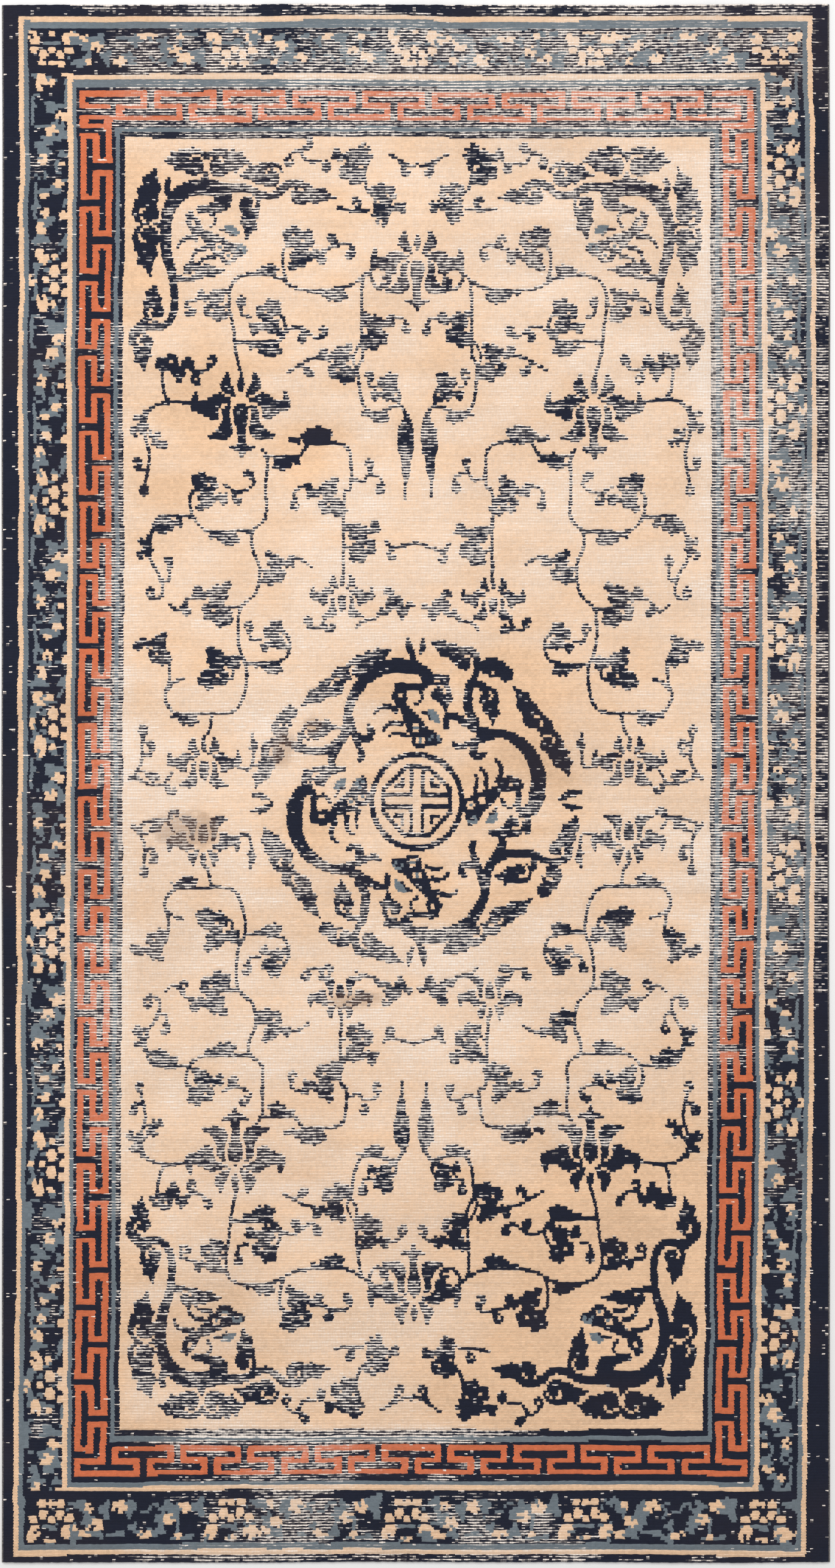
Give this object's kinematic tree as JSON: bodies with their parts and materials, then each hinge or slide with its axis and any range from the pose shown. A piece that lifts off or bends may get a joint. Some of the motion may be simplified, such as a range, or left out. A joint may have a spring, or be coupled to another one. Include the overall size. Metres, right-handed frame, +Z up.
{
  "type": "ningxia rug",
  "caption": "Long flat hand-knotted wool pile rug with a curling dragon and lotus field inside fret, flower and plain borders.",
  "frame": {"origin": "on the floor, under the middle of the rug", "axes": "+Z up from the floor through the pile, +Y along the rug's length, +X across it"},
  "size_m": [1.602, 3.0144, 0.0112],
  "materials": {
    "wool_pile": "worn matt wool pile, beige field with indigo, slate blue and salmon yarns"
  },
  "bodies": {
    "root": {"rug": "wool_pile"}
  },
  "joints": []
}
